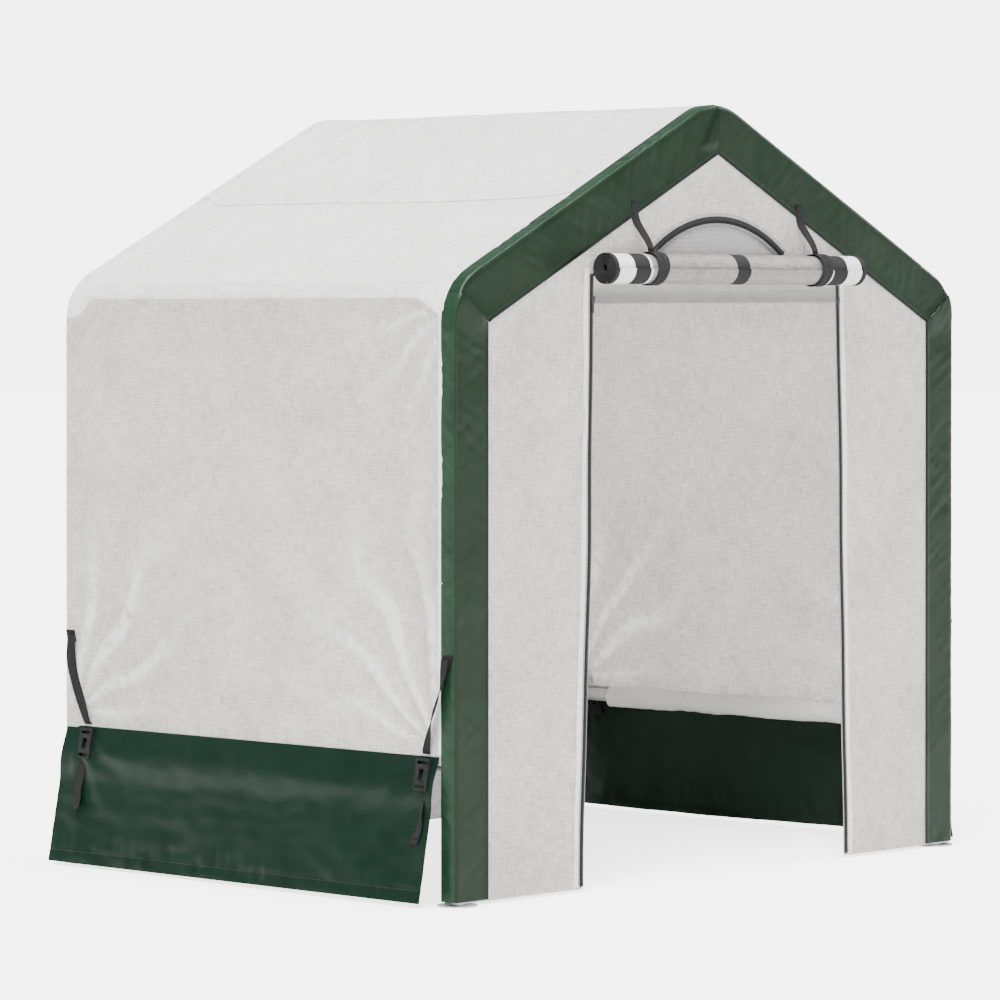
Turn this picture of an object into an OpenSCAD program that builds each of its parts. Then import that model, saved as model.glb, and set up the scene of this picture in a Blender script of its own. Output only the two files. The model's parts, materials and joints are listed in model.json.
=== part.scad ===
// Walk-in garden greenhouse: a slip-jointed steel tube frame with a sewn
// woven-film cover, a roll-up door held by two ties, a zipped gable vent and
// hinged ground skirts. The front gable faces -Y and the ground is Z = 0.

/* [Cover] */
// Width over the side walls
cover_w = 1960; // [1600:10:2400]
// Depth from the front gable to the rear gable
cover_d = 1440; // [1200:10:2400]
// Height where the wall line and the roof line would cross
eave_h = 1526; // [1300:2:1700]
// Roof slope in degrees
roof_pitch = 26.8; // [22:0.1:30]
// Radius of the cover over the eaves
eave_r = 142; // [130:1:160]
// Radius of the cover over the ridge
peak_r = 175; // [165:1:190]
// Thickness of every cover sheet
sheet_t = 1.2; // [0.8:0.1:1.5]
// Height of the seam between side wall and skirt
seam_z = 368; // [300:1:420]
// Height of the lowest hem above the ground
hem_z = 12; // [8:1:20]

/* [Edge trims] */
// Width of the trim along each leg
leg_trim_w = 118; // [80:1:140]
// Width of the trim along each rafter
rafter_trim_w = 132; // [80:1:140]
// How far a trim wraps onto the wall or roof
trim_wrap = 45; // [30:1:60]

/* [Tube frame] */
// Outside diameter of every tube
tube_d = 35; // [32:0.5:38]
// Wall of every tube
tube_wall = 1.5; // [1:0.1:2]
// Leg axis to the outside of the side wall
leg_in_x = 40; // [38:1:60]
// Leg axis to the outside of the gable
leg_in_y = 30; // [28:1:60]
// Rafter axis to the outside of the roof
rafter_in = 26; // [26:1:30]
// Bend radius of the eave elbows
elbow_r = 100; // [90:1:105]
// Bend radius of the peak elbows
peak_elbow_r = 110; // [100:1:112]
// Height of the lower side rails
rail_z = 345; // [250:1:350]
// Height of the slip joint in each leg
joint_z = 860; // [600:5:1100]
// Diameter of the foot plates
plate_d = 100; // [90:1:120]
// Thickness of the foot plates
plate_t = 3; // [2:0.5:5]

/* [Door] */
// Half width of the doorway at its head
door_top = 475; // [400:5:500]
// Half width of the doorway at the ground
door_foot = 515; // [400:5:540]
// Height of the doorway
door_h = 1575; // [1500:5:1600]
// Length of the rolled door
roll_l = 990; // [900:5:1000]
// Diameter of the rolled door
roll_d = 84; // [60:1:90]
// Gap between the rolled door and the gable
roll_gap = 12; // [12:1:16]
// Offset of each door tie from the middle
tie_x = 325; // [250:5:360]
// Width of the webbing of the door ties
tie_w = 25; // [20:1:30]
// Height of the sewn end of each door tie
tie_top = 1748; // [1700:1:1770]

/* [Vent] */
// Radius of the middle of the vent zip
vent_r = 418; // [380:1:440]
// Height of the sewn lower edge of the vent
vent_z = 1602; // [1590:1:1620]
// Height of the top of the vent zip
vent_top = 1704; // [1690:1:1710]

/* [Skirts] */
// Outward lean of the hanging skirts in degrees
skirt_lean = 10; // [6:0.5:12]
// Width of the webbing of the corner straps
strap_w = 32; // [25:1:40]
// Height of the sewn end of each corner strap
strap_top = 610; // [550:5:650]

/* [Hidden] */
$fn = 48;

// colours
steel = "silver";
film = "whitesmoke";
green = "darkgreen";
webbing = "dimgray";

// clearances
lay = 0.3;              // between two layers of fabric
slip = 0.2;             // radial play of a slip joint
bolt_r = 3;
bolt_play = 0.2;
head_r = 5.5;
head_h = 4;
nut_h = 5;

// the roll stands in front of the gable and the foot plates stick out behind
tie_t = 2;
roll_out = roll_gap + roll_d + tie_t;
plate_out = plate_d / 2 - leg_in_y;
trim_out = lay + sheet_t;               // outside of the trims
mid_y = (roll_out - plate_out) / 2;
front_y = mid_y - cover_d / 2;
half_d = cover_d / 2;
half_w = cover_w / 2;

// cover section
apex_z = eave_h + half_w * tan(roof_pitch);
eave_turn = 90 - roof_pitch;
eave_cx = half_w - eave_r;
eave_cz = eave_h - eave_r * tan(eave_turn / 2);
peak_cz = apex_z - peak_r / cos(roof_pitch);
lap_x = half_w / 2;                     // seam half way up each roof slope

// frame section, in the corner at +X +Y
tube_r = tube_d / 2;
bore_r = tube_r - tube_wall;
neck_r = bore_r - slip;
neck_bore = neck_r - tube_wall;
bend_bore = neck_bore + 0.3;            // a bend's wall is thinner than its necks'
stub_r = tube_r - 0.9;                  // the welded stubs for the purlins
neck_l = 90;
neck_bolt = 65;                         // bolt to the shoulder of a neck
tee_neck_l = 70;                        // a rail's neck is shorter
rail_bolt = 45;
swage_l = 6;                            // collar where a leg narrows
gusset_l = 24;
gusset_h = 34;
gusset_t = 3;
bore_end = 4;                           // a blind bore's end, from the inside of the bend
root = 1;                               // how far a neck reaches into its bend
leg_x = half_w - leg_in_x;
leg_y = half_d - leg_in_y;
frame_apex = apex_z - rafter_in / cos(roof_pitch);
elbow_cx = leg_x - elbow_r;
elbow_cz = frame_apex - leg_x * tan(roof_pitch) - elbow_r * tan(eave_turn / 2);
elbow_end = [elbow_cx + elbow_r * cos(eave_turn), elbow_cz + elbow_r * sin(eave_turn)];
purlin_x = elbow_cx + elbow_r * cos(eave_turn / 2);
purlin_z = elbow_cz + elbow_r * sin(eave_turn / 2);
peak_ecz = frame_apex - peak_elbow_r / cos(roof_pitch);
peak_end = [peak_elbow_r * cos(eave_turn), peak_ecz + peak_elbow_r * sin(eave_turn)];
ridge_z = peak_ecz + peak_elbow_r;
rafter_l = (elbow_end[0] - peak_end[0]) / cos(roof_pitch);
boss_l = 40;                            // full-size stub before a neck
sleeve_r = tube_r + 3;                  // feet and tees slide over a leg
sleeve_bore = tube_r + slip;
foot_h = 72;
foot_bolt = 45;
tee_h = 70;
joint_bolt = 25;
rail_end = leg_y - sleeve_r - boss_l;
purlin_end = leg_y - boss_l - tube_r;
pocket_end = rail_end - 120;            // the pocket stops short of the tees
pocket_r = tube_r + 1;

// door
roll_r = roll_d / 2;
roll_wall = 3;
roll_y = front_y - roll_gap - roll_r;
roll_z = door_h;
zip_w = 12;
zip_t = 1.5;
zip_foot = 5;                           // from the hem to the zip's lower end
slider_w = 10;
slider_l = 18;
slider_t = 5;
slider_lip = 2.2;                       // the slider's back, from the gable's face
slider_eye = 4;
pull_w = 6;
pull_l = 25;
pull_t = 2;
slider_park = 60;                       // a parked slider, from the zip's upper end
web_h = 43;                             // the short part of the door under its seam
web_y = front_y - 3 - sheet_t;
zip_lean = atan((door_foot - door_top) / (door_h - hem_z));
zip_len = (door_h - hem_z - 20) / cos(zip_lean);

// vent
vent_cz = vent_top - vent_r;
vent_open = vent_r - zip_w / 2;
vent_half = acos((vent_z + zip_w - vent_cz) / vent_r);
vent_lap = 8;                           // net and flap over the edge of the opening
net_t = 0.8;
net_y = front_y + sheet_t + lay;
flap_y = net_y + net_t + lay;

// skirt, in its own hinge frame: x outwards, z up
hinge_x = half_w + 1.5;
hinge_z = seam_z - 2;
skirt_l = (hinge_z - 10) / cos(skirt_lean);
skirt_end = half_d - trim_wrap - 7;
strap_y = half_d - 95;
buckle_l = 80;
buckle_t = 12;
buckle_rim = 7;
buckle_slot = 8;
strap_t = 1.5;
tail_l = 130;

function arc_pts(cx, cz, r, a0, a1, n) =
    [for (i = [0:n]) let (a = a0 + (a1 - a0) * i / n) [cx + r * cos(a), cz + r * sin(a)]];
function eave_pts(d) = arc_pts(eave_cx, eave_cz, eave_r - d, 0, eave_turn, 8);
function peak_pts(d) = arc_pts(0, peak_cz, peak_r - d, eave_turn, 90, 6);
function lap_pt(d) = [lap_x, apex_z - d / cos(roof_pitch) - lap_x * tan(roof_pitch)];
function wall_pts(d, z) = concat([[half_w - d, z]], eave_pts(d));
function flip(p) = [for (i = [len(p) - 1:-1:0]) [-p[i][0], p[i][1]]];
function back(p) = [for (i = [len(p) - 1:-1:0]) p[i]];
function half_outline(d, z) = concat(wall_pts(d, z), peak_pts(d));
function outline(d, z) = concat(half_outline(d, z), flip(half_outline(d, z)));

module flip_x(s) {
    if (s < 0) mirror([1, 0, 0]) children();
    else children();
}
module flip_y(s) {
    if (s < 0) mirror([0, 1, 0]) children();
    else children();
}
// puts what is drawn in the +X +Y corner into any of the four corners
module corner(sx, sy) { translate([0, mid_y, 0]) flip_x(sx) flip_y(sy) children(); }
module at_front(y) { translate([0, y, 0]) rotate([90, 0, 0]) children(); }
// an XZ outline made solid from y0 to y1
module slab(y0, y1) { at_front(y1) linear_extrude(height = y1 - y0) children(); }

// ---- frame ----
module bolt_hole() { rotate([0, 90, 0]) cylinder(r = bolt_r + bolt_play, h = 80, center = true); }
module bolt(r) {
    rotate([0, 90, 0]) {
        cylinder(r = bolt_r, h = 2 * r + 2, center = true);
        translate([0, 0, -r - head_h]) cylinder(r = head_r, h = head_h, $fn = 6);
        translate([0, 0, r]) cylinder(r = head_r, h = nut_h, $fn = 6);
    }
}
module on_slope(p, along) {
    translate([p[0] - along * cos(roof_pitch), leg_y, p[1] + along * sin(roof_pitch)])
        rotate([0, -eave_turn, 0]) children();
}
module corner_holes() {
    for (z = [foot_bolt, rail_z, joint_z + joint_bolt, elbow_cz - neck_bolt])
        translate([leg_x, leg_y, z]) bolt_hole();
    translate([leg_x, rail_end - rail_bolt, rail_z]) bolt_hole();
    translate([purlin_x, purlin_end - neck_bolt, purlin_z]) bolt_hole();
    on_slope(elbow_end, neck_bolt) bolt_hole();
    on_slope(elbow_end, rafter_l - neck_bolt) bolt_hole();
}
module corner_bolts() {
    for (z = [foot_bolt, rail_z]) translate([leg_x, leg_y, z]) bolt(sleeve_r);
    for (z = [joint_z + joint_bolt, elbow_cz - neck_bolt]) translate([leg_x, leg_y, z]) bolt(tube_r);
    translate([leg_x, rail_end - rail_bolt, rail_z]) bolt(tube_r);
    translate([purlin_x, purlin_end - neck_bolt, purlin_z]) bolt(tube_r);
    on_slope(elbow_end, neck_bolt) bolt(tube_r);
    on_slope(elbow_end, rafter_l - neck_bolt) bolt(tube_r);
}
module pipe(r, b, h) {
    difference() {
        cylinder(r = r, h = h);
        translate([0, 0, -1]) cylinder(r = b, h = h + 2);
    }
}
module gusset(turn) {
    rotate([0, 0, turn]) translate([sleeve_r - 1, gusset_t / 2, plate_t]) rotate([90, 0, 0])
        linear_extrude(height = gusset_t) polygon([[0, 0], [gusset_l, 0], [0, gusset_h]]);
}
module foot(sx, sy) {
    color(steel) corner(sx, sy) difference() {
        translate([leg_x, leg_y, 0]) {
            cylinder(d = plate_d, h = plate_t);
            translate([0, 0, plate_t]) pipe(sleeve_r, sleeve_bore, foot_h - plate_t);
            gusset(180);
            gusset(270);
        }
        translate([leg_x, leg_y, foot_bolt]) bolt_hole();
    }
}
module lower_leg(sx, sy) {
    color(steel) corner(sx, sy) difference() {
        union() {
            translate([leg_x, leg_y, plate_t]) pipe(tube_r, bore_r, joint_z - plate_t);
            translate([leg_x, leg_y, joint_z - swage_l]) pipe(neck_r + slip, neck_bore, swage_l);
            translate([leg_x, leg_y, joint_z]) pipe(neck_r, neck_bore, neck_l);
        }
        corner_holes();
    }
}
module upper_leg(sx, sy) {
    color(steel) corner(sx, sy) difference() {
        translate([leg_x, leg_y, joint_z]) pipe(tube_r, bore_r, elbow_cz - joint_z);
        corner_holes();
    }
}
// the elbow's bend and its two necks, solid at one pair of radii
module elbow_form(bend, neck, over) {
    translate([elbow_cx, leg_y, elbow_cz]) rotate([90, 0, 0])
        rotate_extrude(angle = eave_turn) translate([elbow_r, 0]) circle(r = bend);
    translate([leg_x, leg_y, elbow_cz - neck_l - over]) cylinder(r = neck, h = neck_l + over + root);
    on_slope(elbow_end, -root) cylinder(r = neck, h = neck_l + over + root);
}
// a welded stub for a purlin, running towards the middle of the frame
module stub() {
    rotate([90, 0, 0]) {
        cylinder(r = stub_r, h = boss_l + tube_r);
        cylinder(r = neck_r, h = boss_l + tube_r + neck_l);
    }
}
module stub_bore() {
    translate([0, -tube_r - bore_end, 0]) rotate([90, 0, 0])
        cylinder(r = neck_bore, h = boss_l + neck_l);
}
module eave_elbow(sx, sy) {
    color(steel) corner(sx, sy) difference() {
        union() {
            elbow_form(tube_r, neck_r, 0);
            translate([purlin_x, leg_y, purlin_z]) stub();
        }
        elbow_form(bend_bore, neck_bore, 1);
        translate([purlin_x, leg_y, purlin_z]) stub_bore();
        corner_holes();
    }
}
module rafter(sx, sy) {
    color(steel) corner(sx, sy) difference() {
        on_slope(elbow_end, 0) pipe(tube_r, bore_r, rafter_l);
        corner_holes();
    }
}
module peak_form(bend, neck, over) {
    translate([0, leg_y, peak_ecz]) rotate([90, 0, 0]) rotate([0, 0, eave_turn])
        rotate_extrude(angle = 2 * roof_pitch) translate([peak_elbow_r, 0]) circle(r = bend);
    for (s = [-1, 1]) flip_x(s)
        on_slope(elbow_end, rafter_l - neck_l - over) cylinder(r = neck, h = neck_l + over + root);
}
module ridge_bolt_at() { translate([0, purlin_end - neck_bolt, ridge_z]) children(); }
module peak_elbow(sy) {
    color(steel) corner(1, sy) difference() {
        union() {
            peak_form(tube_r, neck_r, 0);
            translate([0, leg_y, ridge_z]) stub();
        }
        peak_form(bend_bore, neck_bore, 1);
        translate([0, leg_y, ridge_z]) stub_bore();
        for (s = [-1, 1]) flip_x(s) corner_holes();
        ridge_bolt_at() bolt_hole();
    }
}
// a tube along Y between the two ends' shoulders
module long_tube(x, z, end) {
    translate([x, mid_y + end, z]) rotate([90, 0, 0]) pipe(tube_r, bore_r, 2 * end);
}
module end_holes(sx) { for (sy = [-1, 1]) corner(sx, sy) corner_holes(); }
module ridge_purlin() {
    color(steel) difference() {
        long_tube(0, ridge_z, purlin_end);
        for (sy = [-1, 1]) corner(1, sy) ridge_bolt_at() bolt_hole();
    }
}
module eave_purlin(sx) {
    color(steel) difference() {
        long_tube(sx * purlin_x, purlin_z, purlin_end);
        end_holes(sx);
    }
}
module side_rail(sx) {
    color(steel) difference() {
        long_tube(sx * leg_x, rail_z, rail_end);
        end_holes(sx);
    }
}
module rail_tee() {
    difference() {
        union() {
            translate([leg_x, leg_y, rail_z - tee_h / 2]) cylinder(r = sleeve_r, h = tee_h);
            translate([leg_x, leg_y, rail_z]) rotate([90, 0, 0]) {
                cylinder(r = tube_r, h = sleeve_r + boss_l);
                cylinder(r = neck_r, h = sleeve_r + boss_l + tee_neck_l);
            }
        }
        translate([leg_x, leg_y, rail_z - tee_h]) cylinder(r = sleeve_bore, h = 2 * tee_h);
        translate([leg_x, leg_y - tube_r, rail_z]) rotate([90, 0, 0])
            cylinder(r = neck_bore, h = sleeve_r + boss_l + neck_l);
        corner_holes();
    }
}
module rail_tees() { color(steel) for (sx = [-1, 1]) for (sy = [-1, 1]) corner(sx, sy) rail_tee(); }
module frame_bolts() {
    color(steel) {
        for (sx = [-1, 1]) for (sy = [-1, 1]) corner(sx, sy) corner_bolts();
        for (sy = [-1, 1]) corner(1, sy) ridge_bolt_at() bolt(tube_r);
    }
}

// ---- cover ----
module ridge_sheet() {
    outer = concat([lap_pt(0)], peak_pts(0));
    inner = concat([lap_pt(sheet_t)], peak_pts(sheet_t));
    color(film) slab(front_y, front_y + cover_d)
        polygon(concat(outer, flip(outer), back(concat(inner, flip(inner)))));
}
module side_sheet(sx) {
    outer = concat(wall_pts(0, seam_z), [lap_pt(0)]);
    inner = concat(wall_pts(sheet_t, seam_z), [lap_pt(sheet_t)]);
    color(film) flip_x(sx) slab(front_y, front_y + cover_d) polygon(concat(outer, back(inner)));
}
module doorway() {
    polygon([[-door_foot, hem_z - 9], [door_foot, hem_z - 9], [door_top, door_h], [-door_top, door_h]]);
}
// the vent's outline: an arc of radius r over a straight lower edge at height z
module vent_shape(r, z) {
    intersection() {
        translate([0, vent_cz]) circle(r = r, $fn = 96);
        translate([-r, z]) square([2 * r, r]);
    }
}
module gable_shape() { polygon(outline(trim_out, hem_z)); }
module front_panel() {
    color(film) slab(front_y, front_y + sheet_t) difference() {
        gable_shape();
        doorway();
        vent_shape(vent_open, vent_z);
    }
}
module rear_panel() {
    color(film) slab(front_y + cover_d - sheet_t, front_y + cover_d) gable_shape();
}
module rail_pockets() {
    color(film) for (sx = [-1, 1]) translate([sx * leg_x, mid_y + pocket_end, rail_z])
        rotate([90, 0, 0]) pipe(pocket_r + sheet_t, pocket_r, 2 * pocket_end);
}

// ---- trims ----
// where the leg trim and the rafter trim meet: out through the eave
inner_x = half_w - leg_trim_w;
inner_z = apex_z - rafter_trim_w / cos(roof_pitch) - inner_x * tan(roof_pitch);
mitre = [half_w - inner_x, eave_h - inner_z];
module below_mitre() {
    polygon([[inner_x - 60, -10], [inner_x - 60, inner_z - 60 * mitre[1] / mitre[0]],
             [half_w + 60, eave_h + 60 * mitre[1] / mitre[0]], [half_w + 60, -10]]);
}
module above_mitre() {
    polygon([[0, inner_z - inner_x * mitre[1] / mitre[0]], [half_w + 60, eave_h + 60 * mitre[1] / mitre[0]],
             [half_w + 60, apex_z + 60], [0, apex_z + 60]]);
}
module trim_face() {
    difference() {
        polygon(half_outline_closed(-trim_out));
        polygon([[-10, -20], [inner_x, -20], [inner_x, inner_z],
                 [-10, inner_z + (inner_x + 10) * tan(roof_pitch)]]);
    }
}
function half_outline_closed(d) = concat(half_outline(d, hem_z), [[0, hem_z]]);
module trim_edge() {
    difference() {
        polygon(half_outline_closed(-trim_out));
        polygon(concat([[-10, hem_z - 10]], half_outline(-lay, hem_z - 10), [[-10, peak_cz + peak_r + lay]]));
    }
}
// one trim in the front gable's right half: a flat face and a wrapped edge
module trim_piece() {
    slab(front_y - trim_out, front_y - lay) intersection() { trim_face(); children(0); }
    slab(front_y - trim_out, front_y + trim_wrap) intersection() { trim_edge(); children(0); }
}
module leg_trim(sx) { color(green) flip_x(sx) trim_piece() below_mitre(); }
module rafter_trim(sx) { color(green) flip_x(sx) trim_piece() above_mitre(); }
module rear_trims() {
    translate([0, 2 * mid_y, 0]) mirror([0, 1, 0]) for (sx = [-1, 1]) {
        leg_trim(sx);
        rafter_trim(sx);
    }
}

// ---- skirts and corner straps ----
module on_skirt(sx) {
    flip_x(sx) translate([hinge_x, mid_y, hinge_z]) rotate([0, -skirt_lean, 0]) children();
}
module skirt(sx) {
    color(green) on_skirt(sx)
        translate([-sheet_t / 2, -skirt_end, -skirt_l]) cube([sheet_t, 2 * skirt_end, skirt_l - 2]);
}
module corner_strap_pair(sx) {
    color(webbing) for (sy = [-1, 1]) corner(sx, sy) translate([half_w + trim_out + lay, 0, 0])
        rotate([90, 0, 90]) linear_extrude(height = strap_t)
            polygon([[half_d - 12, strap_top], [half_d - 12 - strap_w, strap_top],
                     [strap_y - strap_w / 2, seam_z + 4], [strap_y + strap_w / 2, seam_z + 4]]);
}
module buckle() {
    difference() {
        translate([0, -strap_w / 2 - buckle_rim, -buckle_l]) cube([buckle_t, strap_w + 2 * buckle_rim, buckle_l]);
        for (z = [-6 - buckle_slot, 6 - buckle_l])
            translate([3, -strap_w / 2 - 1, z]) cube([buckle_t, strap_w + 2, buckle_slot]);
        translate([-1, -buckle_slot, 26 - buckle_l]) cube([2 * buckle_t, 2 * buckle_slot, 28]);
    }
}
module strap_buckles(sx) {
    color("black") on_skirt(sx) for (sy = [-1, 1]) translate([2, sy * strap_y, -5]) buckle();
}
module strap_tails(sx) {
    color(webbing) on_skirt(sx) for (sy = [-1, 1])
        translate([2.5, sy * strap_y - strap_w / 2, -6 - buckle_l - tail_l]) cube([2, strap_w, tail_l]);
}

// ---- door ----
module door_web() {
    color(film) translate([-roll_l / 2 + 5, web_y, vent_z - 4 - web_h])
        cube([roll_l - 10, sheet_t, web_h]);
}
module door_roll() {
    color(film) translate([-roll_l / 2, roll_y, roll_z]) rotate([0, 90, 0]) pipe(roll_r, roll_r - roll_wall, roll_l);
}
module along_zip(sx, z) {
    flip_x(sx) translate([door_foot, 0, hem_z]) rotate([0, -zip_lean, 0]) translate([0, 0, z]) children();
}
module door_zip(sx) {
    color("black") along_zip(sx, zip_foot) translate([1, front_y - lay - zip_t, 0])
        cube([zip_w, zip_t, zip_len]);
}
module slider_body() {
    difference() {
        translate([-slider_w / 2, -slider_t, -slider_l / 2]) cube([slider_w, slider_t, slider_l]);
        translate([-slider_eye / 2, -slider_t - 1, 2]) cube([slider_eye, 3, slider_eye]);
    }
    translate([-pull_w / 2, -2 * pull_t, -slider_l / 2 - pull_l]) cube([pull_w, pull_t, pull_l]);
}
module zip_slider(sx) {
    color("dimgray") along_zip(sx, zip_len - slider_park)
        translate([1 + zip_w / 2, front_y - slider_lip, 0]) slider_body();
}
module door_tie(sx) {
    color(webbing) translate([sx * tie_x - tie_w / 2, 0, 0]) {
        translate([0, roll_y, roll_z]) rotate([0, 90, 0]) pipe(roll_r + tie_t, roll_r + 0.6, tie_w);
        rotate([90, 0, 90]) linear_extrude(height = tie_w)
            polygon([[front_y - 1.8, tie_top], [front_y - 3.2, tie_top], [front_y - 3.2, roll_z + 70],
                     [roll_y + roll_r + 0.7, roll_z + 8], [roll_y + roll_r + 0.7, roll_z - 8],
                     [roll_y + roll_r + tie_t, roll_z - 8], [roll_y + roll_r + tie_t, roll_z + 8],
                     [front_y - 1.8, roll_z + 70]]);
    }
}

// ---- vent ----
module vent_mesh() {
    color("gainsboro") slab(net_y, net_y + net_t) vent_shape(vent_open + vent_lap, vent_z - vent_lap);
}
module vent_flap() {
    color(film) slab(flap_y, flap_y + sheet_t) vent_shape(vent_open + vent_lap, vent_z + 2);
}
module vent_zip() {
    color("black") translate([0, front_y - lay, vent_cz]) rotate([90, 0, 0]) rotate([0, 0, 90 - vent_half])
        rotate_extrude(angle = 2 * vent_half) translate([vent_r - zip_w / 2, 0]) square([zip_w, zip_t]);
}
module vent_slider() {
    color("dimgray") translate([0, front_y - slider_lip, vent_cz]) rotate([0, -vent_half + 2, 0])
        translate([0, 0, vent_r]) rotate([0, 90, 0]) slider_body();
}

foot(-1, -1);  // front_left_foot
foot(1, -1);  // front_right_foot
foot(-1, 1);  // rear_left_foot
foot(1, 1);  // rear_right_foot
lower_leg(-1, -1);  // front_left_lower_leg
lower_leg(1, -1);  // front_right_lower_leg
lower_leg(-1, 1);  // rear_left_lower_leg
lower_leg(1, 1);  // rear_right_lower_leg
upper_leg(-1, -1);  // front_left_upper_leg
upper_leg(1, -1);  // front_right_upper_leg
upper_leg(-1, 1);  // rear_left_upper_leg
upper_leg(1, 1);  // rear_right_upper_leg
eave_elbow(-1, -1);  // front_left_eave_elbow
eave_elbow(1, -1);  // front_right_eave_elbow
eave_elbow(-1, 1);  // rear_left_eave_elbow
eave_elbow(1, 1);  // rear_right_eave_elbow
rafter(-1, -1);  // front_left_rafter
rafter(1, -1);  // front_right_rafter
rafter(-1, 1);  // rear_left_rafter
rafter(1, 1);  // rear_right_rafter
peak_elbow(-1);  // front_peak_elbow
peak_elbow(1);  // rear_peak_elbow
ridge_purlin();
eave_purlin(-1);  // left_eave_purlin
eave_purlin(1);  // right_eave_purlin
side_rail(-1);  // left_side_rail
side_rail(1);  // right_side_rail
rail_tees();
frame_bolts();
ridge_sheet();
side_sheet(-1);  // left_side_sheet
side_sheet(1);  // right_side_sheet
front_panel();
rear_panel();
rail_pockets();
leg_trim(-1);  // front_left_leg_trim
leg_trim(1);  // front_right_leg_trim
rafter_trim(-1);  // front_left_rafter_trim
rafter_trim(1);  // front_right_rafter_trim
rear_trims();
skirt(-1);  // left_skirt
skirt(1);  // right_skirt
corner_strap_pair(-1);  // left_corner_straps
corner_strap_pair(1);  // right_corner_straps
strap_buckles(-1);  // left_strap_buckles
strap_buckles(1);  // right_strap_buckles
strap_tails(-1);  // left_strap_tails
strap_tails(1);  // right_strap_tails
door_web();
door_roll();
door_zip(-1);  // left_door_zip
door_zip(1);  // right_door_zip
zip_slider(-1);  // left_zip_slider
zip_slider(1);  // right_zip_slider
door_tie(-1);  // left_door_tie
door_tie(1);  // right_door_tie
vent_mesh();
vent_flap();
vent_zip();
vent_slider();
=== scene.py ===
# Looks for the walk-in greenhouse: woven film, coated green film, webbing, zips,
# galvanised tube. Metres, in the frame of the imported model.
import json
import math

import bmesh
import bpy
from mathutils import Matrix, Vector, noise


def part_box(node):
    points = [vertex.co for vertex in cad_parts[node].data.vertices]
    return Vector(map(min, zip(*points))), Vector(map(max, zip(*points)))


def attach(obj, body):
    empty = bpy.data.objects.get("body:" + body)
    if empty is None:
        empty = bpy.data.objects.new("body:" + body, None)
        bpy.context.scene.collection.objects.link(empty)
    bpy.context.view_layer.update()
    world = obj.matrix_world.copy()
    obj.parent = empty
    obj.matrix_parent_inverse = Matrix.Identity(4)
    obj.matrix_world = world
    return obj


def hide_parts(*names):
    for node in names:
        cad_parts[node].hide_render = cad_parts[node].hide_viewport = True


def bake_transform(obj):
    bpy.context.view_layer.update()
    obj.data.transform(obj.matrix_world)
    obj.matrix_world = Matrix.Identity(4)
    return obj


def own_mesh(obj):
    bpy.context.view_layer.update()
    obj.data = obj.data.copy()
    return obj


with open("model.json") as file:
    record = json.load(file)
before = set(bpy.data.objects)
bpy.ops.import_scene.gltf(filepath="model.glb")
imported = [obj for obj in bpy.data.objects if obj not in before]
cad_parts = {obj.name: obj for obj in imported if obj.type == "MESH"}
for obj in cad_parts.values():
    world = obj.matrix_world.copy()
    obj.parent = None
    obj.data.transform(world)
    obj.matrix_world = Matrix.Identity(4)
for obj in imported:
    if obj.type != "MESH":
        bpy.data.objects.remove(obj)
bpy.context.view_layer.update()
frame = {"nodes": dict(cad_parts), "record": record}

# ---- sizes, repeated from the part's source ----
HALF_W = 0.98
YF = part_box("front_panel")[0].y
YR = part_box("rear_panel")[1].y
YM = (YF + YR) / 2
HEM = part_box("front_left_leg_trim")[0].z
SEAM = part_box("left_side_sheet")[0].z
PITCH = math.radians(26.8)
TURN = math.pi / 2 - PITCH
EAVE_Z = 1.526
APEX = EAVE_Z + HALF_W * math.tan(PITCH)
EAVE_R = 0.142
PEAK_R = 0.175
EAVE_CX = HALF_W - EAVE_R
EAVE_CZ = EAVE_Z - EAVE_R * math.tan(TURN / 2)
PEAK_CZ = APEX - PEAK_R / math.cos(PITCH)
LAP_X = HALF_W / 2
LEG_TRIM = 0.118
RAFTER_TRIM = 0.132
WRAP = 0.045
INNER = (HALF_W - LEG_TRIM, APEX - RAFTER_TRIM / math.cos(PITCH) - (HALF_W - LEG_TRIM) * math.tan(PITCH))
MITRE_A = math.radians(30.7)
DOOR_TOP, DOOR_FOOT, DOOR_H = 0.475, 0.515, 1.575
ZIP_W = 0.012
ROLL_LO, ROLL_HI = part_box("door_roll")
ROLL_Y = (ROLL_LO.y + ROLL_HI.y) / 2
ROLL_Z = (ROLL_LO.z + ROLL_HI.z) / 2
ROLL_R = (ROLL_HI.y - ROLL_LO.y) / 2
ROLL_HALF = ROLL_HI.x
TIE_X, TIE_W = 0.325, 0.025
TIE_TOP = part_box("left_door_tie")[1].z
VENT_R, VENT_Z, VENT_TOP = 0.418, 1.602, 1.704
VENT_CZ = VENT_TOP - VENT_R
VENT_HALF = math.acos((VENT_Z + ZIP_W - VENT_CZ) / VENT_R)
HINGE_X, HINGE_Z = HALF_W + 0.0015, SEAM - 0.002
LEAN = math.radians(10)
SKIRT_L = (HINGE_Z - 0.010) / math.cos(LEAN)
SKIRT_END = 0.668
STRAP_W = 0.032
STRAP_Y = 0.625
STRAP_TOP = 0.61
LEG_X, RAIL_Z = 0.94, 0.345
KNEE_Z = 1.36         # where the inner edge of a leg trim starts to turn
FACE = 0.72           # share of a trim's rows that lie on the gable
WALL_TAIL = 0.022     # film that goes on below the skirt seam, behind the skirt
STEP_BACK = 0.007     # white film's front edge, under the green wrap
LENGTH = YR - YF
GABLE_EDGE = 0.008    # white gable film stops this far inside the outline


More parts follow.
